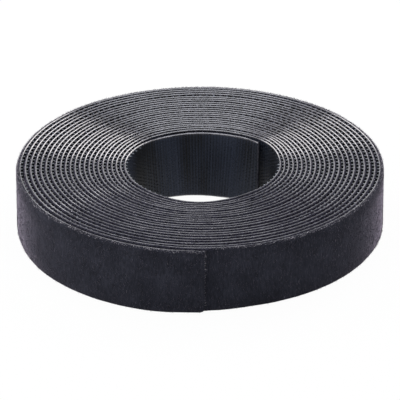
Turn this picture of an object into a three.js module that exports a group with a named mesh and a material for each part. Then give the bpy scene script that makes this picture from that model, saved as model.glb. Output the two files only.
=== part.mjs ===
// Coreless roll of back-to-back hook and loop tape, lying flat on its edges.
// The tape has two plies: a moulded hook film that faces the axis, and a napped loop fabric
// bonded to its back. Both wind outwards, anticlockwise from above, as one flat spiral.
// At each free end the tape is cut into short links, so that it can peel.
// Millimetres and degrees. The roll's axis is Z, up, and its lower edges lie on the plane Z = 0.
import * as THREE from "three";

// Driving dimensions
const tapeWidth = 20;
const hookFilmThickness = 0.3;
const loopFabricThickness = 0.38;
const plyGap = 0.3; // between the hook film and the loop fabric on its back
const turnGap = 0.3; // between the loop fabric and the hook film of the next turn
const linkGap = 0.3; // between two links that bend against each other
const boreRadius = 22.6; // from the axis to the hook side, where the tape starts
const turns = 22.643;
const lastTurnExtraGap = 0.33; // how much more the last turn stands off than the first one does
const innerEndAngle = 39.5; // where the tape starts, from +X
const innerEndBow = 1.3; // how far the loose inner end bows into the bore
const innerEndBowAngle = 80; // the angle about the axis that the bow takes up
const tailStandOff = 0.5; // how far the free outer end has sprung away from the turn under it
const tailStandOffAngle = 150; // the angle about the axis that it takes to spring away
const tailLinks = 4; // stiff links that the outer end bends in
const facetsPerTailLink = 1;
const innerEndLinks = 3; // stiff links that the inner end bends in
const facetsPerInnerLink = 2;
const facetsPerTurn = 24;

// Worked out from those
const tapeThickness = hookFilmThickness + plyGap + loopFabricThickness;
const firstPitch = tapeThickness + turnGap;
const facets = Math.round(turns * facetsPerTurn);
const firstWoundFacet = innerEndLinks * facetsPerInnerLink;
const lastWoundFacet = facets - tailLinks * facetsPerTailLink;
const hookPly = {
  name: "hook_film",
  inside: 0,
  outside: hookFilmThickness,
  finish: { color: 0x34363d, roughness: 0.45, metalness: 0 },
};
const loopPly = {
  name: "loop_fabric",
  inside: hookFilmThickness + plyGap,
  outside: tapeThickness,
  finish: { color: 0x26272d, roughness: 0.95, metalness: 0 },
};

// The spiral

// How far the tape bows inwards near its start: none at either end of the bow, most nearer the start.
function bowAt(turn) {
  const share = (turn * 360) / innerEndBowAngle;
  const skewToStart = 0.75;
  return share < 1 ? innerEndBow * Math.sin(Math.PI * share ** skewToStart) ** 2 : 0;
}

// How far the tape has sprung outwards near its outer end: none at first, most at the very end.
function standOffAt(turn) {
  const share = 1 - ((turns - turn) * 360) / tailStandOffAngle;
  return share > 0 ? tailStandOff * share ** 2 : 0;
}

// A corner of the tape in plan, at a facet's start and at a distance out from the hook side.
function cornerAt(facet, distance) {
  const turn = (turns * facet) / facets;
  const spread = (lastTurnExtraGap * turn ** 2) / (2 * turns);
  const wound = boreRadius + firstPitch * turn + spread;
  const radius = wound - bowAt(turn) + standOffAt(turn) + distance;
  const angle = THREE.MathUtils.degToRad(innerEndAngle + 360 * turn);
  return new THREE.Vector2(radius * Math.cos(angle), radius * Math.sin(angle));
}

// One side of a stretch of tape. An end where the tape goes on stops half a gap short.
function sideOf(fromFacet, toFacet, distance) {
  const corners = [];
  for (let facet = fromFacet; facet <= toFacet; facet++) corners.push(cornerAt(facet, distance));
  const side = corners.map((corner) => corner.clone());
  const shorten = (index, towards) => {
    const run = corners[index].distanceTo(corners[towards]);
    side[index].lerp(corners[towards], linkGap / 2 / run);
  };
  const last = corners.length - 1;
  if (fromFacet > 0) shorten(0, 1);
  if (toFacet < facets) shorten(last, last - 1);
  return side;
}

// One ply of a stretch of tape, as a band in plan that stands as high as the tape is wide.
function plyMesh(ply, place, fromFacet, toFacet, pivot) {
  const inside = sideOf(fromFacet, toFacet, ply.inside);
  const outside = sideOf(fromFacet, toFacet, ply.outside);
  const outline = [...inside, ...outside.reverse()].map((point) => point.sub(pivot));
  const band = new THREE.ExtrudeGeometry(new THREE.Shape(outline), {
    depth: tapeWidth,
    bevelEnabled: false,
  });
  const mesh = new THREE.Mesh(band, new THREE.MeshStandardMaterial(ply.finish));
  mesh.name = `${ply.name}_${place}`;
  return mesh;
}

// A stretch of tape: both plies in a group that turns about its pivot.
function stretchOfTape(place, fromFacet, toFacet, pivot, parentPivot) {
  const group = new THREE.Group();
  group.name = place;
  group.position.set(pivot.x - parentPivot.x, pivot.y - parentPivot.y, 0);
  for (const ply of [hookPly, loopPly]) group.add(plyMesh(ply, place, fromFacet, toFacet, pivot));
  return group;
}

// The parts of the roll

const axis = new THREE.Vector2(0, 0);
const roll = stretchOfTape("roll", firstWoundFacet, lastWoundFacet, axis, axis);

// The outer tail peels outwards, so each link turns about the loop side of its joint.
let carrier = roll;
let carrierPivot = axis;
for (let number = 1; number <= tailLinks; number++) {
  const fromFacet = lastWoundFacet + (number - 1) * facetsPerTailLink;
  const toFacet = fromFacet + facetsPerTailLink;
  const pivot = cornerAt(fromFacet, tapeThickness);
  const tail = stretchOfTape(`tail_${number}`, fromFacet, toFacet, pivot, carrierPivot);
  carrier.add(tail);
  carrier = tail;
  carrierPivot = pivot;
}

// The inner end peels into the bore, so each link turns about the hook side of its joint.
carrier = roll;
carrierPivot = axis;
for (let number = 1; number <= innerEndLinks; number++) {
  const toFacet = firstWoundFacet - (number - 1) * facetsPerInnerLink;
  const pivot = cornerAt(toFacet, 0);
  const fromFacet = toFacet - facetsPerInnerLink;
  const inner = stretchOfTape(`inner_end_${number}`, fromFacet, toFacet, pivot, carrierPivot);
  carrier.add(inner);
  carrier = inner;
  carrierPivot = pivot;
}

// The least gap that a ply leaves between one of its turns and the next, over its corner points.
function leastGapToItself(ply) {
  const flat = (point) => new THREE.Vector3(point.x, point.y, 0);
  const facetsAround = Math.round(facets / turns);
  let least = Infinity;
  for (let facet = 0; facet + facetsAround < facets; facet++) {
    const corner = flat(cornerAt(facet, ply.outside));
    for (const next of [facet + facetsAround - 1, facet + facetsAround]) {
      const face = new THREE.Line3(
        flat(cornerAt(next, ply.inside)),
        flat(cornerAt(next + 1, ply.inside)),
      );
      const nearest = face.closestPointToPoint(corner, true, new THREE.Vector3());
      least = Math.min(least, nearest.distanceTo(corner));
    }
  }
  return least;
}
for (const ply of [hookPly, loopPly]) {
  console.log(`${ply.name}: least gap to itself ${leastGapToItself(ply).toFixed(2)} mm`);
}

export default roll;
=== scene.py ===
import math

import bpy
import numpy as np
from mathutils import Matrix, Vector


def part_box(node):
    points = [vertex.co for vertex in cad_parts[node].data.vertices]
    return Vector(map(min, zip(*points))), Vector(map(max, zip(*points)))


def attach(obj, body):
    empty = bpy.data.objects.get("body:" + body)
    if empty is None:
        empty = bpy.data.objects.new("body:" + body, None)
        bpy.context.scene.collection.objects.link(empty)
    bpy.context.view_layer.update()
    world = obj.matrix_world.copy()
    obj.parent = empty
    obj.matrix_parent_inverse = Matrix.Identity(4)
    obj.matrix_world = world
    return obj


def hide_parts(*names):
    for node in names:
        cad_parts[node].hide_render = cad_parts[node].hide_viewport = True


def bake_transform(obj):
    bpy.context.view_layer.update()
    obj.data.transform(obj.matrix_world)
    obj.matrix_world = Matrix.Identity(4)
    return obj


# A coreless roll of back-to-back hook and loop tape, lying on its edges on a white floor.
# All is worked out in millimetres along the tape: turn, distance out, height. Meshes are made in metres.

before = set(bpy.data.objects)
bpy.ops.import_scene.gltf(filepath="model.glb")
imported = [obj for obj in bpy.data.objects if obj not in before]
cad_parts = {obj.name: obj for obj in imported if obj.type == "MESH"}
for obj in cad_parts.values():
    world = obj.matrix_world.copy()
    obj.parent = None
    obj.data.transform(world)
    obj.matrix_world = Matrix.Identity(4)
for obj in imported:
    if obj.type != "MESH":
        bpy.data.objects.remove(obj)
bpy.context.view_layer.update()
rng = np.random.default_rng(22)
bpy.context.scene.view_settings.view_transform = "Standard"


# The tape's path

tape = {
    "width": 1000 * (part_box("loop_fabric_roll")[1].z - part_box("loop_fabric_roll")[0].z),
    "boreRadius": 22.6,  # from the axis to the hook side, where the tape starts
    "firstPitch": 1.28,  # from one turn to the next, at the bore
    "lastTurnExtraGap": 0.33,
    "turns": 22.643,
    "exposedTurns": 1.27,  # the last turn, and what the tail bares when it peels
    "facets": 543,  # of the solids, which the joints lie on
    "stepsPerFacet": 6,
    "innerEndAngle": 39.5,
    "cutBack": 0.4,  # degrees that the inner end stops short of that
    "innerEndBow": 1.25,  # how far the loose inner end stands into the bore
    "bowFades": (70, 135),  # degrees from the start, between which it joins the roll
    "tailStandOff": 0.5,
    "tailStandOffAngle": 150,
    "tailCorner": 1.3,  # radius
    "lean": 3.75,  # how much further the loose inner end's lower edge bows in than its upper one
    "leanAtStart": 0.15,
    "leanAngle": 165,
    "leanSkew": 0.45,
    "flare": 1.2,  # how far the last turn's lower edge stands out past its upper one, at the front left
    "flareElsewhere": 0.15,
    "flareRises": (182, 240),  # degrees from +X
    "flareFalls": (270, 288),
    "flareTuck": 20,  # degrees before the tail's end over which its lower edge comes back in
    "flareStarts": (440, 500),  # degrees before the tail's end: all there at the first, none at the second
    "middle": 0.5,  # from the hook side to about half the tape's thickness
    "endSteps": (1.3, 0.6, 0.2, 0),  # before the tail's end, close together for the round corner
    "endRadius": 55,  # that turns those steps into an angle
}
# Hand winding: waves round each turn as (waves, height in mm, phase), nearly alike on neighbouring turns
waver = [(1, 0.06, 3.3), (2, 0.05, 0.4), (3, 0.045, 2.2), (5, 0.04, 4.9), (8, 0.035, 1.3), (13, 0.025, 0.2)]
waverDrift = 0.3  # radians that a wave slips from one turn to the next
# The bore isn't quite round: bulges as (angle, half width in degrees, depth in mm, turns that it fades over)
bulges = [(265, 28, 1.7, 7), (38, 24, 1.3, 6)]
# The turns' upper edges don't lie quite level: waves along the tape as (waves per turn, height in mm, phase)
unevenEdges = [(0.37, 0.05, 0.8), (1.23, 0.04, 2.9), (0.81, 0.045, 5.1)]

steps = tape["facets"] * tape["stepsPerFacet"]
turnOfStep = tape["turns"] * np.arange(steps + 1) / steps
turnOfStep[:3] = np.linspace(tape["cutBack"] / 360, turnOfStep[2], 3)
turnOfStep[-4:] = tape["turns"] - np.array(tape["endSteps"]) / (2 * np.pi * tape["endRadius"])


def rise(value, low, high):
    # 0 up to low, 1 from high on, and smooth between
    share = np.clip((value - low) / (high - low), 0, 1)
    return share**2 * (3 - 2 * share)


def hookSide(turn):
    # radius of the film's inner face, at the upper edge
    spiral = tape["boreRadius"] + tape["firstPitch"] * turn
    spiral = spiral + tape["lastTurnExtraGap"] * turn**2 / (2 * tape["turns"])
    bow = tape["innerEndBow"] * (1 - rise(turn * 360, *tape["bowFades"]))
    sprung = np.clip(1 - (tape["turns"] - turn) * 360 / tape["tailStandOffAngle"], 0, None)
    waves = sum(h * np.sin(2 * np.pi * k * turn + p + waverDrift * turn) for k, h, p in waver)
    for angle, halfWidth, depth, fade in bulges:
        apart = (tape["innerEndAngle"] + 360 * turn - angle + 180) % 360 - 180
        waves = waves + depth * np.exp(-((apart / halfWidth) ** 2) - turn / fade)
    return spiral - bow + tape["tailStandOff"] * sprung**2 + waves


def leanOf(turn):
    share = np.clip((turn * 360 - tape["cutBack"]) / tape["leanAngle"], 0, 1)
    most = tape["lean"] * np.sin(np.pi * share ** tape["leanSkew"]) ** 2
    return most + tape["leanAtStart"] * (1 - share) ** 2


def flareOf(turn):
    # the last turn and what lies under the tail
    angle = (tape["innerEndAngle"] + 360 * turn) % 360
    atFront = rise(angle, *tape["flareRises"]) * (1 - rise(angle, *tape["flareFalls"]))
    toEnd = (tape["turns"] - turn) * 360
    onLast = rise(toEnd, 0, tape["flareTuck"]) * (1 - rise(toEnd, *tape["flareStarts"]))
    return onLast * (tape["flareElsewhere"] + (tape["flare"] - tape["flareElsewhere"]) * atFront)


def cornerRise(turn):
    # the tail's lower corner is cut round: how much the lower edge rises towards the end
    r = tape["tailCorner"]
    toEnd = np.clip((tape["turns"] - turn) * 2 * np.pi * hookSide(turn), 0, r)
    return r - np.sqrt(r**2 - (r - toEnd) ** 2)


def place(turn, out, height):
    # a point of the tape in metres: out is the distance from the hook side, away from the axis
    height = height + cornerRise(turn) * np.clip(1 - 2 * height / tape["width"], 0, 1)
    radius = hookSide(turn) + out + (flareOf(turn) - leanOf(turn)) * (1 - height / tape["width"])
    lift = sum(h * (1 + np.sin(2 * np.pi * k * turn + p)) for k, h, p in unevenEdges)
    up = height * (1 + lift / tape["width"])
    angle = np.radians(tape["innerEndAngle"]) + 2 * np.pi * turn
    return np.stack(np.broadcast_arrays(radius * np.cos(angle), radius * np.sin(angle), up), -1) / 1000


def turnAlong(turn, along):
    # the turn that lies a distance along the tape, in millimetres
    return turn + along / (2 * np.pi * hookSide(turn))


middleLine = place(turnOfStep, tape["middle"], tape["width"] / 2)
stepLengths = np.linalg.norm(np.diff(middleLine, axis=0), axis=1) * 1000
lengthAtStep = np.concatenate([[0], np.cumsum(stepLengths)])
print(f"tape: {lengthAtStep[-1] / 1000:.2f} m in {tape['turns']} turns")


# The stretches that the tape is made in: the wound part, and the short lengths that bend at the joints

innerLinks = 3
facetsPerInnerLink = 2
tailLinks = 4
facetsPerTailLink = 1


def stretch(name, fromFacet, toFacet, bodies, bend=None):
    # facets count along the tape from the bore; bend is where the bend starts and ends
    return {
        "name": name,
        "from": round(fromFacet * tape["stepsPerFacet"]),
        "to": round(toFacet * tape["stepsPerFacet"]),
        "bodies": bodies,
        "bend": bend and [tape["turns"] * facet / tape["facets"] for facet in bend],
    }


firstWound = innerLinks * facetsPerInnerLink
lastWound = tape["facets"] - tailLinks * facetsPerTailLink
wound = stretch("wound", firstWound, lastWound, ["roll"])
innerEnds = []
tails = []
for number in range(1, innerLinks + 1):
    joint = firstWound - (number - 1) * facetsPerInnerLink
    middle = joint - facetsPerInnerLink / 2
    bendFrom = joint if number == 1 else joint + facetsPerInnerLink / 2
    end = 0 if number == innerLinks else middle
    bodies = ["roll" if number == 1 else f"inner_end_{number - 1}", f"inner_end_{number}"]
    innerEnds.append(stretch(f"inner_end_{number}", end, bendFrom, bodies, (bendFrom, middle)))
for number in range(1, tailLinks + 1):
    joint = lastWound + (number - 1) * facetsPerTailLink
    middle = joint + facetsPerTailLink / 2
    bendFrom = joint if number == 1 else joint - facetsPerTailLink / 2
    end = tape["facets"] if number == tailLinks else middle
    bodies = ["roll" if number == 1 else f"tail_{number - 1}", f"tail_{number}"]
    tails.append(stretch(f"tail_{number}", bendFrom, end, bodies, (bendFrom, middle)))
stretches = [wound] + innerEnds + tails


# Making meshes

def makePiece(name, points, faces, uvs, slots, materials, sharpOver):
    # faces all have the same number of corners; the shell is turned right side out as a whole
    corners = points[faces]
    volume = np.einsum("ij,ij->i", corners[:, 0], np.cross(corners[:, 1], corners[:, 2])).sum()
    if faces.shape[1] == 4:
        volume += np.einsum("ij,ij->i", corners[:, 0], np.cross(corners[:, 2], corners[:, 3])).sum()
    if volume < 0:
        faces, uvs = faces[:, ::-1], uvs[:, ::-1]
    mesh = bpy.data.meshes.new(name)
    mesh.vertices.add(len(points))
    mesh.vertices.foreach_set("co", points.astype(np.float32).ravel())
    mesh.loops.add(faces.size)
    mesh.loops.foreach_set("vertex_index", faces.astype(np.int32).ravel())
    mesh.polygons.add(len(faces))
    mesh.polygons.foreach_set("loop_start", np.arange(len(faces), dtype=np.int32) * faces.shape[1])
    mesh.update(calc_edges=True)
    for material in materials:
        mesh.materials.append(material)
    mesh.polygons.foreach_set("material_index", np.broadcast_to(slots, len(faces)).astype(np.int32))
    mesh.polygons.foreach_set("use_smooth", np.ones(len(faces), dtype=bool))
    mesh.uv_layers.new(name="OFBake").uv.foreach_set("vector", uvs.astype(np.float32).ravel())
    mesh.set_sharp_from_angle(angle=math.radians(sharpOver))
    mesh.validate()
    piece = bpy.data.objects.new(name, mesh)
    bpy.context.scene.collection.objects.link(piece)
    return piece


def settle(piece, part, nodes=()):
    # the wound piece is carried by the roll; a stretch that bends at a joint only gets its transform baked
    if part["bend"]:
        start, end = (place(turn, tape["middle"], tape["width"] / 2).tolist() for turn in part["bend"])
        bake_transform(piece)
    else:
        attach(piece, part["bodies"][0])
    if nodes:
        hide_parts(*nodes)
    return piece


def stripPiece(name, part, inner, outer, ply, materials):
    # a closed strip: inner and outer are (steps, points) arrays of distance out and height, bottom to top;
    # four materials: for the faces and for what lies within a depth of an edge, free first and then covered
    edgeDepths, coveredFrom = ply["edgeDepths"], ply["coveredFrom"]
    turn = turnOfStep[part["from"]:part["to"] + 1][:, None]
    out = np.concatenate([inner[0], outer[0][:, ::-1]], 1)
    height = np.concatenate([inner[1], outer[1][:, ::-1]], 1)
    points = place(turn, out, height)
    rows, around = out.shape
    index = np.arange(rows * around).reshape(rows, around)
    after = np.roll(index, -1, 1)
    sides = np.stack([index[:-1], after[:-1], after[1:], index[1:]], -1).reshape(-1, 4)
    covered = (turn[:-1] >= coveredFrom) & (turn[:-1] < tape["turns"] - 1)
    depth = np.minimum(height, tape["width"] - height).mean(0)
    nearEdge = depth < np.where(covered, edgeDepths[1], edgeDepths[0])
    onEdge = nearEdge & np.roll(nearEdge, -1, 1)
    coveredTo = tape["turns"] - np.where(onEdge, 1, tape["exposedTurns"])
    # faces that the next turn hides take the third material, which for the film and the knit is painted shade
    slots = (onEdge + 2 * ((turn[:-1] >= coveredFrom) & (turn[:-1] < coveredTo))).ravel()
    half = around // 2
    low = np.arange(half - 1)
    cap = np.stack([low, around - 1 - low, around - 2 - low, low + 1], -1)
    faces = np.concatenate([sides, cap, (cap + (rows - 1) * around)[:, ::-1]])
    slots = np.concatenate([slots, np.ones(2 * len(cap), dtype=int)])
    # The map for painting lays one turn below the other
    perRow = round(steps / tape["turns"])
    mapRows = (rows - 2) // perRow + 2
    step = np.arange(rows - 1)
    u = np.stack([step % perRow, step % perRow, step % perRow + 1, step % perRow + 1], -1) / perRow
    gap = np.linalg.norm(np.diff(np.concatenate([points[0], points[:1, 0]]), axis=0), axis=1)
    across = np.concatenate([[0], np.cumsum(gap)]) / gap.sum() * 0.96 + 0.02
    v = np.stack([across[:-1], across[1:], across[1:], across[:-1]], -1)
    mapRow = (v + (step // perRow)[:, None, None]) / mapRows
    sideUvs = np.stack(np.broadcast_arrays(u[:, None], mapRow), -1)
    capU = np.stack([low, low, low + 1, low + 1], -1) / half
    capUv = np.stack([capU, np.tile([0.1, 0.9, 0.9, 0.1], (half - 1, 1))], -1)
    capUvs = np.concatenate([capUv * [0.45, 1 / mapRows] + [shift, 1 - 1 / mapRows] for shift in (0, 0.5)])
    uvs = np.concatenate([sideUvs.reshape(-1, 4, 2), capUvs])
    return makePiece(name, points.reshape(-1, 3), faces, uvs, slots, materials, ply["sharpOver"])


def cellUvs(count, template):
    # each small copy gets its own cell of the map, filled by the template
    across = math.ceil(math.sqrt(max(count, 1)))
    cell = np.stack([np.arange(count) % across, np.arange(count) // across], -1)
    return ((cell[:, None, None] + 0.06 + 0.88 * template) / across).reshape(-1, *template.shape[1:])


# Materials

def linear(colour):
    # sRGB hex to the linear values that the shaders use
    parts = [int(colour[i:i + 2], 16) / 255 for i in (1, 3, 5)]
    return [c / 12.92 if c <= 0.04045 else ((c + 0.055) / 1.055) ** 2.4 for c in parts] + [1]


def addNode(tree, kind, settings=(), links=()):
    # settings are the node's own or its inputs'; stops are a colour ramp's places and colours
    node = tree.nodes.new(kind)
    for key, value in dict(settings).items():
        if key == "stops":
            for number, (position, colour) in enumerate(value):
                stops = node.color_ramp.elements
                stop = stops[number] if number < len(stops) else stops.new(position)
                stop.position = position
                stop.color = linear(colour)
        elif isinstance(key, str) and hasattr(node, key):
            setattr(node, key, value)
        else:
            node.inputs[key].default_value = value
    for key, socket in dict(links).items():
        tree.links.new(socket, node.inputs[key])
    return node


def newMaterial(name, settings):
    material = bpy.data.materials.new(name)
    material.use_nodes = True
    tree = material.node_tree
    shader = tree.nodes["Principled BSDF"]
    for key, value in settings.items():
        shader.inputs[key].default_value = value
    coords = addNode(tree, "ShaderNodeTexCoord").outputs["Object"]
    return material, tree, shader, coords


def perMm(size):
    return 1000 / size  # a texture scale for a pattern of that size in millimetres


# Nylon film, moulded with its hooks: satin, with soft lighter bands across the tape that are painted
# reflections
def makeMouldedFilm():
    look = {"dark": "#07080b", "light": "#2f3543", "bandMm": 11, "bandLengthMm": 80, "grainMm": 0.5,
            "bandShift": [36.3, 32.7, 0],  # puts the lighter bands where the bore shows them
            "columnShadeMm": 1.02, "columnShadeTone": 0.07}  # painted light and shade for the columns of hooks, this far apart at the bore
    material, tree, shader, coords = newMaterial("moulded_nylon_film", {
        "Roughness": 0.42, "IOR": 1.53, "Specular IOR Level": 0.27})
    # the bands are painted reflection, not a change in the film
    across = addNode(tree, "ShaderNodeMapping", {
        "Scale": [perMm(look["bandMm"]), perMm(look["bandMm"]), perMm(look["bandLengthMm"])],
        "Location": look["bandShift"]}, {"Vector": coords})
    bands = addNode(tree, "ShaderNodeTexNoise", {"Scale": 1, "Detail": 2}, {
        "Vector": across.outputs["Vector"]})
    axes = addNode(tree, "ShaderNodeSeparateXYZ", links={"Vector": coords})
    angle = addNode(tree, "ShaderNodeMath", {"operation": "ARCTAN2"}, {
        0: axes.outputs["Y"], 1: axes.outputs["X"]})
    # Stripes across the tape, one for each column of hooks: painted light and shade, not ribs in the film
    columnShadeCount = round(2 * math.pi * tape["boreRadius"] / look["columnShadeMm"])
    around = addNode(tree, "ShaderNodeMath", {"operation": "MULTIPLY", 1: columnShadeCount}, {0: angle.outputs[0]})
    columnShade = addNode(tree, "ShaderNodeMath", {"operation": "SINE"}, {0: around.outputs[0]})
    bandsAndColumnShade = addNode(tree, "ShaderNodeMath", {"operation": "MULTIPLY_ADD", 1: look["columnShadeTone"]}, {
        0: columnShade.outputs[0], 2: bands.outputs["Fac"]})
    tone = addNode(tree, "ShaderNodeValToRGB", {"stops": [(0.4, look["dark"]), (0.64, look["light"])]}, {
        "Fac": bandsAndColumnShade.outputs[0]})
    tree.links.new(tone.outputs["Color"], shader.inputs["Base Color"])
    grain = addNode(tree, "ShaderNodeTexNoise", {"Scale": perMm(look["grainMm"]), "Detail": 3}, {
        "Vector": coords})
    rough = addNode(tree, "ShaderNodeMapRange", {"To Min": 0.34, "To Max": 0.5}, {
        "Value": grain.outputs["Fac"]})
    tree.links.new(rough.outputs["Result"], shader.inputs["Roughness"])
    bump = addNode(tree, "ShaderNodeBump", {"Strength": 0.2, "Distance": 0.00004}, {
        "Height": grain.outputs["Fac"]})
    tree.links.new(bump.outputs["Normal"], shader.inputs["Normal"])
    return material


# Slit nylon: the knife whitens it and leaves it smooth, so it is paler than the moulded face,
# patchy and glossy
def makeSlitNylon(name, dark, light):
    look = {"patchMm": 2.4, "nickMm": 0.6}
    material, tree, shader, coords = newMaterial(name, {
        "Roughness": 0.18, "IOR": 1.53, "Specular IOR Level": 0.9})
    patches = addNode(tree, "ShaderNodeTexNoise", {
        "Scale": perMm(look["patchMm"]), "Detail": 3, "Roughness": 0.6}, {"Vector": coords})
    nicks = addNode(tree, "ShaderNodeTexNoise", {"Scale": perMm(look["nickMm"]), "Detail": 2}, {
        "Vector": coords})
    both = addNode(tree, "ShaderNodeMix", {"data_type": "FLOAT", "Factor": 0.4}, {
        "A": patches.outputs["Fac"], "B": nicks.outputs["Fac"]})
    tone = addNode(tree, "ShaderNodeValToRGB", {"stops": [(0.36, dark), (0.62, light)]}, {
        "Fac": both.outputs["Result"]})
    tree.links.new(tone.outputs["Color"], shader.inputs["Base Color"])
    bump = addNode(tree, "ShaderNodeBump", {"Strength": 0.3, "Distance": 0.00004}, {
        "Height": nicks.outputs["Fac"]})
    tree.links.new(bump.outputs["Normal"], shader.inputs["Normal"])
    return material


# Knitted nylon loops, brushed up into a nap: matt black with a soft purplish sheen at grazing angles,
# fine streaks across the tape where the nap lies, and wide faint mottling where it was pressed
def makeNappedLoop():
    look = {"dark": "#1a1b21", "middle": "#292a32", "light": "#3d3e48",
            "streakMm": 0.42, "streakLengthMm": 1.9, "mottleMm": 7,
            "tuftMm": 0.3}  # real tufts may be finer; drawn this coarse, they show
    material, tree, shader, coords = newMaterial("napped_loop", {
        "Roughness": 0.95, "Specular IOR Level": 0.1, "Sheen Weight": 1, "Sheen Roughness": 0.25,
        "Sheen Tint": linear("#d9cce0")})
    along = addNode(tree, "ShaderNodeMapping", {
        "Scale": [perMm(look["streakMm"]), perMm(look["streakMm"]), perMm(look["streakLengthMm"])]}, {
        "Vector": coords})
    streaks = addNode(tree, "ShaderNodeTexNoise", {"Scale": 1, "Detail": 3, "Roughness": 0.65}, {
        "Vector": along.outputs["Vector"]})
    mottle = addNode(tree, "ShaderNodeTexNoise", {"Scale": perMm(look["mottleMm"]), "Detail": 3}, {
        "Vector": coords})
    tufts = addNode(tree, "ShaderNodeTexNoise", {"Scale": perMm(look["tuftMm"]), "Detail": 2}, {
        "Vector": coords})
    both = addNode(tree, "ShaderNodeMix", {"data_type": "FLOAT", "Factor": 0.35}, {
        "A": streaks.outputs["Fac"], "B": mottle.outputs["Fac"]})
    tone = addNode(tree, "ShaderNodeValToRGB", {
        "stops": [(0.3, look["dark"]), (0.72, look["light"]), (0.5, look["middle"])]}, {
        "Fac": both.outputs["Result"]})
    tree.links.new(tone.outputs["Color"], shader.inputs["Base Color"])
    relief = addNode(tree, "ShaderNodeMix", {"data_type": "FLOAT", "Factor": 0.5}, {
        "A": streaks.outputs["Fac"], "B": tufts.outputs["Fac"]})
    bump = addNode(tree, "ShaderNodeBump", {"Strength": 0.8, "Distance": 0.0002}, {
        "Height": relief.outputs["Result"]})
    tree.links.new(bump.outputs["Normal"], shader.inputs["Normal"])
    return material


# Single nap fibres, which catch more light than the mass does: copies of the same black yarn with painted
# light, from black through charcoal and lit to a pale painted highlight
def makeNapFibre(name, dark, light):
    patchMm = 0.9
    material, tree, shader, coords = newMaterial(name, {
        "Roughness": 0.75, "Specular IOR Level": 0.2, "Sheen Weight": 0.55, "Sheen Roughness": 0.3,
        "Sheen Tint": linear("#d9cce0")})
    patches = addNode(tree, "ShaderNodeTexNoise", {"Scale": perMm(patchMm), "Detail": 2}, {"Vector": coords})
    tone = addNode(tree, "ShaderNodeValToRGB", {"stops": [(0.3, dark), (0.7, light)]}, {
        "Fac": patches.outputs["Fac"]})
    tree.links.new(tone.outputs["Color"], shader.inputs["Base Color"])
    return material


# What lies between two turns: knit and film pressed together, without sheen or gloss, and painted near black
# as shade;
# and the knit's cut edge: a mat of short yarn ends, greyer than the face
def makeFlatPile(name, dark, light):
    tuftMm = 0.5
    material, tree, shader, coords = newMaterial(name, {"Roughness": 0.95, "Specular IOR Level": 0.05})
    tufts = addNode(tree, "ShaderNodeTexNoise", {"Scale": perMm(tuftMm), "Detail": 3}, {"Vector": coords})
    tone = addNode(tree, "ShaderNodeValToRGB", {"stops": [(0.35, dark), (0.65, light)]}, {
        "Fac": tufts.outputs["Fac"]})
    tree.links.new(tone.outputs["Color"], shader.inputs["Base Color"])
    bump = addNode(tree, "ShaderNodeBump", {"Strength": 0.7, "Distance": 0.0002}, {
        "Height": tufts.outputs["Fac"]})
    tree.links.new(bump.outputs["Normal"], shader.inputs["Normal"])
    return material


mouldedFilm = makeMouldedFilm()
slitFilmEdge = makeSlitNylon("slit_film_edge", "#3c3b41", "#737178")
slitHookEdge = makeSlitNylon("slit_hook_edge", "#3d424b", "#686e79")
nappedLoop = makeNappedLoop()
# shaded_film and the pressed loop are painted shade: near black copies of the film and the knit for where the
# next turn hides them
shadedFilm = makeFlatPile("shaded_film", "#08090b", "#121317")
pressedLoopPaintedShade = makeFlatPile("pressed_loop_painted_shade", "#08080a", "#141418")
pressedEdge = makeFlatPile("pressed_edge_pile", "#1b1b23", "#444350")
# the yarn is black; the charcoal and lit copies are painted light and the pale one is a painted highlight
napFibres = [
    makeNapFibre("nap_fibre_black", "#17181e", "#292a32"),
    makeNapFibre("nap_fibre_charcoal", "#292a32", "#41424b"),
    makeNapFibre("nap_fibre_lit", "#5f5d65", "#97949d"),
    makeNapFibre("yarn_end_painted_highlight", "#918e95", "#d8d4da"),
]
print("materials: done")


# Hook film: a thin strip, slit at a slant that leaves its inner side a little narrower than its outer one

film = {
    "thickness": 0.4,
    "innerChamfer": 0.02,
    "outerChamfer": 0.13,
    "slitSlant": 25,  # degrees
    "edgeNicks": 0.035,
    "nickSteps": 9,  # that a nick is smoothed over
    "edgeLoops": (0.3, 1.2),  # heights of the points next to an edge
    "edgeDepths": (0.6, 0.6),  # how far down the slit edge's look reaches, free and covered
    "coveredFrom": 1.35,  # the turn from which the next one in hides the hook side
    "sharpOver": 15,  # degrees
}


def nicksAlong():
    run = film["nickSteps"]
    smoothing = np.ones(run) / math.sqrt(run)
    return film["edgeNicks"] * np.convolve(rng.normal(0, 1, steps + run), smoothing, "valid")


nicksTop = nicksAlong()
nicksBottom = nicksAlong()


def filmSide(part, innerFace):
    # one side of the strip, bottom to top
    chamfer = film["innerChamfer"] if innerFace else film["outerChamfer"]
    flat = film["thickness"] - film["innerChamfer"] - film["outerChamfer"]
    slant = flat * math.tan(math.radians(film["slitSlant"]))
    low = np.array([0, chamfer, *film["edgeLoops"]]) + (slant if innerFace else 0)
    inset = np.array([chamfer, 0, 0, 0, 0, 0, 0, chamfer])
    count = part["to"] - part["from"] + 1
    out = np.tile(inset if innerFace else film["thickness"] - inset, (count, 1))
    height = np.tile(np.concatenate([low, tape["width"] - low[::-1]]), (count, 1))
    span = slice(part["from"], part["to"] + 1)
    height[:, :2] += np.abs(nicksBottom[span, None])
    height[:, -2:] += nicksTop[span, None]
    return out, height


for part in stretches:
    sides = filmSide(part, True), filmSide(part, False)
    # the hook side that the next turn hides gets shaded_film, painted shade
    materials = [mouldedFilm, slitFilmEdge, shadedFilm, slitFilmEdge]
    piece = stripPiece(f"film_{part['name']}", part, *sides, film, materials)
    settle(piece, part, ["hook_film_" + part["name"].replace("wound", "roll")])
print("hook film: done")


# Loop fabric: a knit bonded to the film's back, fuller on the last turn and the inner end,
# where nothing presses it

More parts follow.
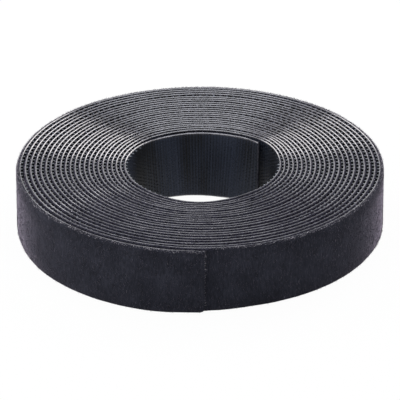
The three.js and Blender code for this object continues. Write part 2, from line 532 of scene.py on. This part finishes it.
fabric = {
    "thickness": 0.33,  # at the bore
    "outerThickness": 0.45,
    "bondGap": 0.01,  # to the film's back
    "freeLoft": 0.5,
    "freeOver": 0.03,  # turns that the last turn's loft takes to rise
    "looseLoft": 0.35,
    "looseTurns": 0.34,
    "looseOver": 0.06,  # turns that the inner end's loft takes to rise or fall
    "edgeRound": 0.25,
    "freeEdgeRound": 0.85,
    "edgeLoops": (0.25, 0.6),
    "edgeProfile": [1, 0.35, 0.08, 0, 0, 0, 0.08, 0.35, 1],  # how much of the rounding each point takes
    "fillProfile": [0, 0, 0, 1, 1, 1, 0, 0, 0],  # and of the pile that fills the gap to the next turn
    "caughtFrom": 0.38,  # the turn from which the next turn's hooks catch the pile
    "caughtOver": 0.08,
    "nextTurnGap": 0.08,
    "topDrop": 0.12,
    "topRise": 0.06,
    "bottomDrop": 0.02,
    "ragged": 0.05,
    "lumps": 0.02,
    "edgeDepths": (0.3, 0.7),
    "coveredFrom": 0,
    "sharpOver": 50,  # degrees
}
raggedTop = fabric["ragged"] * rng.normal(0, 1, steps + 1)
raggedBottom = fabric["ragged"] * rng.normal(0, 1, steps + 1)
lumps = fabric["lumps"] * rng.normal(0, 1, (steps + 1, 9))


def freeShare(turn):
    return np.clip((turn - (tape["turns"] - 1)) / fabric["freeOver"], 0, 1)  # 1 on the last turn


def fabricOuter(turn):
    # the distance out of the fabric's outer face
    grown = (fabric["outerThickness"] - fabric["thickness"]) * turn / tape["turns"]
    over = fabric["looseOver"]
    loose = np.clip((fabric["looseTurns"] - turn) / over, 0, 1) * np.clip(turn / over, 0, 1)
    loft = fabric["freeLoft"] * freeShare(turn) + fabric["looseLoft"] * loose
    return film["thickness"] + fabric["thickness"] + grown + loft


def fabricSide(part, outerFace):
    w = tape["width"]
    span = slice(part["from"], part["to"] + 1)
    near, far = fabric["edgeLoops"]
    lower = [fabric["bottomDrop"], near, far, 0.25 * w, 0.5 * w]
    upper = [0.75 * w, w - far, w - near, w - fabric["topDrop"]]
    heights = np.tile(lower + upper, (part["to"] - part["from"] + 1, 1))
    heights[:, -1] += raggedTop[span] + fabric["topRise"] * freeShare(turnOfStep[span])
    heights[:, 0] += np.abs(raggedBottom[span])
    if outerFace:
        turn = turnOfStep[span, None]
        rounding = fabric["edgeRound"] + (fabric["freeEdgeRound"] - fabric["edgeRound"]) * freeShare(turn)
        inset = rounding * np.array(fabric["edgeProfile"])
        # Away from the edges the pile fills the gap, caught in the next turn's hooks
        caughtTo = tape["turns"] - tape["exposedTurns"]
        over = fabric["caughtOver"]
        caught = np.clip((turn - fabric["caughtFrom"]) / over, 0, 1) * np.clip((caughtTo - turn) / over, 0, 1)
        gap = hookSide(turn + 1) - hookSide(turn) - fabricOuter(turn) - fabric["nextTurnGap"]
        fill = caught * gap * np.array(fabric["fillProfile"])
        return fabricOuter(turn) + lumps[span] - inset + fill, heights
    return np.full(heights.shape, film["thickness"] + fabric["bondGap"]), heights


for part in stretches:
    sides = fabricSide(part, False), fabricSide(part, True)
    # the face that the next turn hides gets the pressed loop, painted shade
    materials = [nappedLoop, nappedLoop, pressedLoopPaintedShade, pressedEdge]
    piece = stripPiece(f"fabric_{part['name']}", part, *sides, fabric, materials)
    node = "loop_fabric_" + part["name"].replace("wound", "roll")
    settle(piece, part, [node])
print("loop fabric: done")


# Hooks: rows of small moulded J shapes on the film's inner side, every other row half a pitch on
# and facing back

hook = {
    "pitch": 2.2,  # along the tape
    "rowPitch": 0.55,
    "breadth": 0.26,
    "edgeInset": 0.42,
    # the two sides of the J as (along, inwards), from the root to the tip
    "back": [(-0.36, -0.04), (-0.22, 0.10), (-0.13, 0.26), (-0.04, 0.43), (0.15, 0.50), (0.40, 0.40)],
    "front": [(0.26, -0.04), (0.15, 0.10), (0.11, 0.24), (0.13, 0.33), (0.22, 0.37), (0.37, 0.31)],
    # the same for the edge rows, where the knife leaves stubs that reach the next turn's pile
    "stubBack": [(-0.32, -0.04), (-0.27, 0.14), (-0.25, 0.32), (-0.25, 0.46), (-0.20, 0.57), (-0.05, 0.62)],
    "stubFront": [(0.32, -0.04), (0.27, 0.14), (0.25, 0.30), (0.25, 0.42), (0.24, 0.52), (0.15, 0.60)],
    "pressed": 0.7,  # the height that is left of hooks between the edge rows
    "boreTurns": 1.3,  # how far in from the start every row is made; further out only the edge rows show
    "looseTurns": (0.3, 0.9, 1.3),  # no edge rows up to the first, nor between the other two
    "startInset": 0.6,  # from the tape's ends to the first hook and the last
    "endInset": 0.5,
    "jitter": 0.1,  # along the tape
    "sizes": (0.92, 1.08),
    "sharpOver": 40,  # degrees
}
lowestRow = hook["edgeInset"] + hook["breadth"] / 2
rowCount = round((tape["width"] - 2 * lowestRow) / hook["rowPitch"]) + 1
rowHeights = np.linspace(lowestRow, tape["width"] - lowestRow, rowCount)


def hookTemplate(back, front):
    # one hook as points (along, inwards, across) and four-cornered faces, each with a place on the map
    rail = np.array(back + front[::-1])
    count = len(rail)
    points = np.concatenate([np.c_[rail, np.full(count, side * hook["breadth"] / 2)] for side in (-1, 1)])
    ring = np.arange(count)
    walls = np.stack([ring, np.roll(ring, -1), np.roll(ring, -1) + count, ring + count], -1)
    low = np.arange(count // 2 - 1)
    cap = np.stack([low, count - 1 - low, count - 2 - low, low + 1], -1)
    faces = np.concatenate([walls, cap, (cap + count)[:, ::-1]])
    cells = np.stack([np.arange(len(faces)) % 5, np.arange(len(faces)) // 5], -1) / 5
    corner = np.array([[0, 0], [1, 0], [1, 1], [0, 1]]) * 0.17 + 0.015
    return points, faces, cells[:, None] + corner


hookPoints, hookFaces, hookMap = hookTemplate(hook["back"], hook["front"])
stubPoints = hookTemplate(hook["stubBack"], hook["stubFront"])[0]


def hookSpots(rows):
    # turn, height and facing of each hook in these rows along the whole tape, and whether the knife cut it
    spots = []
    for row in rows:
        first = hook["startInset"] + (row % 2) * hook["pitch"] / 2
        lengths = np.arange(first, lengthAtStep[-1] - hook["endInset"], hook["pitch"])
        lengths = lengths + rng.normal(0, hook["jitter"], len(lengths))
        turn = np.interp(lengths, lengthAtStep, turnOfStep)
        same = [rowHeights[row], 1 - 2 * (row % 2), row in (0, rowCount - 1)]
        spots.append(np.c_[turn, np.tile(same, (len(turn), 1))])
    return np.concatenate(spots)


def hooksPiece(name, spots):
    turn, height, facing, cut = (spots[:, [i]] for i in range(4))
    cut = cut > 0
    size = rng.uniform(*hook["sizes"], turn.shape)
    shape = np.where(cut[..., None], stubPoints, hookPoints)
    along = shape[..., 0] * facing * size
    inwards = shape[..., 1] * size * np.where(cut, 1, hook["pressed"])
    points = place(turnAlong(turn, along), -inwards, height + shape[..., 2] * facing)
    faces = hookFaces + (np.arange(len(spots)) * len(hookPoints))[:, None, None]
    slots = np.repeat(cut, len(hookFaces))
    uvs = cellUvs(len(spots), hookMap)
    materials = [mouldedFilm, slitHookEdge]
    faces = faces.reshape(-1, 4)
    return makePiece(name, points.reshape(-1, 3), faces, uvs, slots, materials, hook["sharpOver"])


def within(spots, part):
    return spots[(spots[:, 0] >= turnOfStep[part["from"]]) & (spots[:, 0] < turnOfStep[part["to"]])]


def offLoose(spots):
    # no edge rows on the loose inner end, nor on the turn that it has come away from
    firstTo, nextFrom, nextTo = hook["looseTurns"]
    turn = spots[:, 0]
    return spots[((turn > firstTo) & (turn < nextFrom)) | (turn > nextTo)]


bottomSpots = offLoose(hookSpots([0]))
topSpots = offLoose(hookSpots([rowCount - 1]))
fieldSpots = hookSpots(range(1, rowCount - 1))
settle(hooksPiece("hooks_bottom_edge", within(bottomSpots, wound)), wound)
settle(hooksPiece("hooks_top_edge", within(topSpots, wound)), wound)
boreSpots = within(fieldSpots, wound)
settle(hooksPiece("hooks_bore", boreSpots[boreSpots[:, 0] < hook["boreTurns"]]), wound)
for part in innerEnds + tails:
    spots = np.concatenate([within(rowSpots, part) for rowSpots in (bottomSpots, topSpots, fieldSpots)])
    settle(hooksPiece(f"hooks_{part['name']}", spots), part)
print("hooks: done")


# Nap and fuzz: single bent fibres that stand out of the fabric

fibreFaces = np.array([[0, 2, 1], [0, 1, 4], [0, 4, 3], [1, 2, 5], [1, 5, 4], [2, 0, 3], [2, 3, 5],
                       [3, 4, 6], [4, 5, 6], [5, 3, 6]])
fibreMap = np.stack([
    np.array([[i % 4, i // 4], [i % 4 + 0.9, i // 4], [i % 4, i // 4 + 0.9]]) / 4
    for i in range(len(fibreFaces))])
fibreRings = ((0, 1), (0.55, 0.8))  # shares of length and thickness, for three points each; then the tip
fibreSharpOver = 180  # degrees, so none is


def fibres(turn, out, height, direction, length, thick, bend):
    # roots and directions as arrays; directions are (along, out, up). Returns what fibrePiece needs
    direction = direction / np.linalg.norm(direction, axis=1, keepdims=True)
    return np.concatenate([np.stack([turn, out, height, length, thick], -1), direction, bend], 1)


def fibrePiece(name, made, shade, materials):
    turn, out, height, length, thick = (made[:, [i]] for i in range(5))
    direction, bend = made[:, 5:8], made[:, 8:11]
    aside = np.cross(direction, np.where(np.abs(direction[:, [2]]) > 0.8, [1.0, 0, 0], [0, 0, 1.0]))
    aside /= np.linalg.norm(aside, axis=1, keepdims=True)
    other = np.cross(direction, aside)
    points = []
    for share, thin in fibreRings:
        for angle in (0, 2 * np.pi / 3, 4 * np.pi / 3):
            ring = thick * thin * (math.cos(angle) * aside + math.sin(angle) * other)
            points.append(direction * length * share + bend * length * share**2 + ring)
    points.append(direction * length + bend * length)
    local = np.stack(points, 1)
    spots = place(turnAlong(turn, local[..., 0]), out + local[..., 1], height + local[..., 2])
    faces = (fibreFaces + (np.arange(len(made)) * len(points))[:, None, None]).reshape(-1, 3)
    slots = np.repeat(shade, len(fibreFaces))
    uvs = cellUvs(len(made), fibreMap)
    return makePiece(name, spots.reshape(-1, 3), faces, uvs, slots, materials, fibreSharpOver)


def spread(count, low, high):
    return rng.uniform(low, high, count)


# Shades are the shares of the four fibre materials, black first, the others painted light up to a painted
# highlight, and thick is a radius. A fibre points along, outwards and upwards: a pair is the least and the
# most, or a mean and spread where it says so, and a single number is a spread about 0
nap = {
    "count": 20000, "length": (0.45, 1.15), "thick": (0.022, 0.04), "shades": [0.7, 0.29, 0.01, 0],
    "edgeInset": 0.3, "sunk": 0.03, "downAndUp": [0.7, 0.3],  # shares of the fibres
    "along": 0.35, "outwards": (0.1, 0.35), "pressed": 0.3,  # what is left of outwards under the tail
    "bend": 0.2, "bendBack": 0.6,
}
fuzz = {
    "perMm": 3, "perMmBelow": 1, "length": (0.15, 0.5), "thick": (0.02, 0.036),
    "shades": [0.42, 0.34, 0.12, 0.12],
    "offFilm": 0.04, "lessThanFabric": 0.2, "belowTop": 0.06, "aboveBottom": 0.4,
    "along": 1.2, "outwards": (0.1, 0.4),  # a mean and spread
    "upwards": (0.15, 0.7), "bend": 0.15,
}
rim = {
    "perMm": 12, "length": (0.2, 0.6), "thick": (0.02, 0.036), "shades": [0.15, 0.25, 0.4, 0.2],
    "sunk": 0.02, "belowTop": 0.5, "climb": 0.45,  # over the rounded edge
    "along": 0.9, "outwards": (-0.1, 0.5), "upwards": (0.1, 0.7), "bend": 0.2,
}
fray = {
    "count": 110, "length": (0.3, 0.9), "thick": (0.02, 0.035), "shades": [0.2, 0.3, 0.35, 0.15],
    "turnsFromEnd": (0.00005, 0.0003), "offFilm": (0.05, 0.8), "heights": (0.01, 0.98), "towardsTop": 0.6,
    "along": (0.3, 1.0), "outwards": (0.25, 0.3),  # a mean and spread
    "upwards": 0.5, "bend": 0.25,
}
highlightFibre = {"shade": 3, "thicker": 2.2}
fibresStop = 0.0005  # turns before the tail's end


def shadesAndRadii(kind, n):
    # the palest ones, a painted highlight, are whole yarn ends, thicker than single fibres
    shade = rng.choice(4, n, p=kind["shades"])
    return shade, spread(n, *kind["thick"]) * np.where(shade == highlightFibre["shade"], highlightFibre["thicker"], 1)


def napFibresMade():
    n = nap["count"]
    turn = spread(n, tape["turns"] - tape["exposedTurns"], tape["turns"] - fibresStop)
    height = spread(n, nap["edgeInset"], tape["width"] - nap["edgeInset"])
    upOrDown = rng.choice([-1.0, 1.0], n, p=nap["downAndUp"])
    length = spread(n, *nap["length"])
    shade, thick = shadesAndRadii(nap, n)
    lowest = np.where(upOrDown < 0, length, 0)
    highest = tape["width"] - np.where(upOrDown > 0, length, 0)
    height = np.clip(height, lowest, highest)
    direction = np.stack([rng.normal(0, nap["along"], n), spread(n, *nap["outwards"]), upOrDown], -1)
    covered = turn < tape["turns"] - 1
    direction[covered, 1] *= nap["pressed"]
    bend = np.stack([rng.normal(0, nap["bend"], n), -direction[:, 1] * nap["bendBack"], np.zeros(n)], -1)
    return fibres(turn, fabricOuter(turn) - nap["sunk"], height, direction, length, thick, bend), shade


def fuzzFibresMade(atTop):
    # all but the last turn, which has the rim's fringe
    reach = np.interp(tape["turns"] - 1, turnOfStep, lengthAtStep)
    n = int(fuzz["perMm" if atTop else "perMmBelow"] * reach)
    turn = np.interp(spread(n, 0, reach), lengthAtStep, turnOfStep)
    room = fabricOuter(turn) - film["thickness"] - fuzz["lessThanFabric"]
    out = film["thickness"] + fuzz["offFilm"] + spread(n, 0, 1) * room
    up = 1 if atTop else -1
    top = tape["width"] - fabric["topDrop"] - fuzz["belowTop"]
    height = top if atTop else fabric["bottomDrop"] + fuzz["aboveBottom"]
    direction = np.stack([rng.normal(0, fuzz["along"], n), rng.normal(*fuzz["outwards"], n),
                          up * spread(n, *fuzz["upwards"])], -1)
    length = spread(n, *fuzz["length"])
    bend = rng.normal(0, fuzz["bend"], (n, 3))
    shade, thick = shadesAndRadii(fuzz, n)
    return fibres(turn, out, np.full(n, height), direction, length, thick, bend), shade


def rimFibresMade():
    # the fringe along the upper rim of the last turn, mostly fibres with painted light and painted highlight
    n = int(rim["perMm"] * (lengthAtStep[-1] - np.interp(tape["turns"] - 1, turnOfStep, lengthAtStep)))
    turn = spread(n, tape["turns"] - 1, tape["turns"] - fibresStop)
    inset = spread(n, 0, 1)
    out = fabricOuter(turn) - rim["sunk"] - fabric["freeEdgeRound"] * inset
    height = tape["width"] - rim["belowTop"] + rim["climb"] * np.sqrt(inset)
    direction = np.stack([rng.normal(0, rim["along"], n), spread(n, *rim["outwards"]),
                          spread(n, *rim["upwards"])], -1)
    bend = rng.normal(0, rim["bend"], (n, 3))
    shade, thick = shadesAndRadii(rim, n)
    return fibres(turn, out, height, direction, spread(n, *rim["length"]), thick, bend), shade


def frayFibresMade():
    # loose yarn ends along the tail's cut end
    n = fray["count"]
    turn = tape["turns"] - spread(n, *fray["turnsFromEnd"])
    out = film["thickness"] + spread(n, *fray["offFilm"])
    height = tape["width"] * spread(n, *fray["heights"]) ** fray["towardsTop"]
    direction = np.stack([spread(n, *fray["along"]), rng.normal(*fray["outwards"], n),
                          rng.normal(0, fray["upwards"], n)], -1)
    bend = rng.normal(0, fray["bend"], (n, 3))
    shade, thick = shadesAndRadii(fray, n)
    return fibres(turn, out, height, direction, spread(n, *fray["length"]), thick, bend), shade


fibreSets = {
    "nap_outer_turn": napFibresMade(),
    "fuzz_top_edge": fuzzFibresMade(True),
    "fuzz_bottom_edge": fuzzFibresMade(False),
    "fuzz_rim": rimFibresMade(),
    "fray_cut_end": frayFibresMade(),
}
for part in stretches:
    low, high = turnOfStep[part["from"]], turnOfStep[part["to"]]
    chosen = {}
    for name, (made, shade) in fibreSets.items():
        mine = (made[:, 0] >= low) & (made[:, 0] < high)
        if mine.any():
            chosen[name] = (made[mine], shade[mine])
    if part is not wound:  # a short length has all its fibres in one piece
        chosen = {f"nap_{part['name']}": tuple(np.concatenate(group) for group in zip(*chosen.values()))}
    for name, (made, shade) in chosen.items():
        settle(fibrePiece(name, made, shade, napFibres), part)
print(f"nap and fuzz: {sum(len(made) for made, shade in fibreSets.values())} fibres")


# Floor, light and camera

stage = {
    "floorSize": 8.0,
    "floorDrop": 0.0001,  # keeps the floor clear of the tape's lower edges
    "floorPaper": "#ededed",
    "floorGlow": 0.965,  # the share of plain white in the floor as seen; the rest keeps the shadow
    "worldLight": 0.25,
}


def seenDirectly(tree):
    # 1 for rays from the camera and for mirrored or refracted ones
    path = addNode(tree, "ShaderNodeLightPath")
    glossy = addNode(tree, "ShaderNodeMath", {"operation": "MAXIMUM"}, {
        0: path.outputs["Is Camera Ray"], 1: path.outputs["Is Glossy Ray"]})
    return addNode(tree, "ShaderNodeMath", {"operation": "MAXIMUM"}, {
        0: glossy.outputs[0], 1: path.outputs["Is Transmission Ray"]}).outputs[0]


def makeFloor():
    half = stage["floorSize"] / 2
    mesh = bpy.data.meshes.new("floor")
    corners = ((-half, -half), (half, -half), (half, half), (-half, half))
    mesh.from_pydata([(x, y, -stage["floorDrop"]) for x, y in corners], [], [(0, 1, 2, 3)])
    floor = bpy.data.objects.new("floor", mesh)
    bpy.context.scene.collection.objects.link(floor)
    material = bpy.data.materials.new("white_paper_sweep")
    material.use_nodes = True
    tree = material.node_tree
    tree.nodes.remove(tree.nodes["Principled BSDF"])
    paper = addNode(tree, "ShaderNodeBsdfDiffuse", {"Color": linear(stage["floorPaper"])})
    white = addNode(tree, "ShaderNodeEmission", {"Color": linear("#ffffff"), "Strength": 1})
    share = addNode(tree, "ShaderNodeMath", {"operation": "MULTIPLY", 1: stage["floorGlow"]}, {
        0: seenDirectly(tree)})
    mixed = addNode(tree, "ShaderNodeMixShader", links={
        0: share.outputs[0], 1: paper.outputs[0], 2: white.outputs[0]})
    tree.links.new(mixed.outputs[0], tree.nodes["Material Output"].inputs["Surface"])
    mesh.materials.append(material)


def makeWorld():
    world = bpy.data.worlds.new("white_studio")
    bpy.context.scene.world = world
    world.use_nodes = True
    tree = world.node_tree
    strength = addNode(tree, "ShaderNodeMapRange", {"To Min": stage["worldLight"], "To Max": 1}, {
        "Value": seenDirectly(tree)})
    tree.nodes["Background"].inputs["Color"].default_value = linear("#ffffff")
    tree.links.new(strength.outputs["Result"], tree.nodes["Background"].inputs["Strength"])


# softboxes as (name, azimuth from the front, elevation, distance in m, side in m, watts, colour)
softboxes = [
    ("back_left", 216, 36, 0.9, 0.4, 2.8, "#fffaf8"),
    ("back_right", 147, 37, 0.9, 0.38, 3.1, "#fffaf8"),
    ("overhead", 175, 79, 1.2, 0.8, 4.9, "#f3f8ff"),
    ("left_fill", 262, 11, 1.2, 0.8, 9, "#ffffff"),
    ("right_fill", 98, 11, 1.2, 0.8, 0.6, "#ffffff"),
    ("front_left", 316, 58, 1.4, 1.0, 3.6, "#f6f8ff"),
    ("front_right", 42, 59, 1.4, 1.0, 3.3, "#f6f8ff"),
]


def makeLights():
    for name, azimuth, elevation, distance, side, watts, colour in softboxes:
        light = bpy.data.lights.new(name, "AREA")
        light.shape = "SQUARE"
        light.size = side
        light.energy = watts
        light.color = linear(colour)[:3]
        lamp = bpy.data.objects.new(name, light)
        bpy.context.scene.collection.objects.link(lamp)
        a, e = math.radians(azimuth), math.radians(elevation)
        away = (math.sin(a) * math.cos(e), -math.cos(a) * math.cos(e), math.sin(e))
        lamp.location = [distance * part for part in away]
        lamp.rotation_euler = (math.pi / 2 - e, 0, a)


view = {"elevation": 27.1, "distance": 973.8, "lens": 286.6, "shiftX": -0.0032, "shiftY": -0.0161}


def makeCamera():
    camera = bpy.data.objects.new("camera", bpy.data.cameras.new("camera"))
    bpy.context.scene.collection.objects.link(camera)
    camera.data.lens = view["lens"]
    camera.data.sensor_width = 36
    camera.data.shift_x, camera.data.shift_y = view["shiftX"], view["shiftY"]
    e = math.radians(view["elevation"])
    reach = view["distance"] / 1000
    camera.location = (0, -reach * math.cos(e), tape["width"] / 2000 + reach * math.sin(e))
    camera.rotation_euler = (math.pi / 2 - e, 0, 0)
    camera.data.clip_start, camera.data.clip_end = 0.01, 20
    bpy.context.scene.camera = camera


makeFloor()
makeWorld()
makeLights()
makeCamera()
print("stage: done")
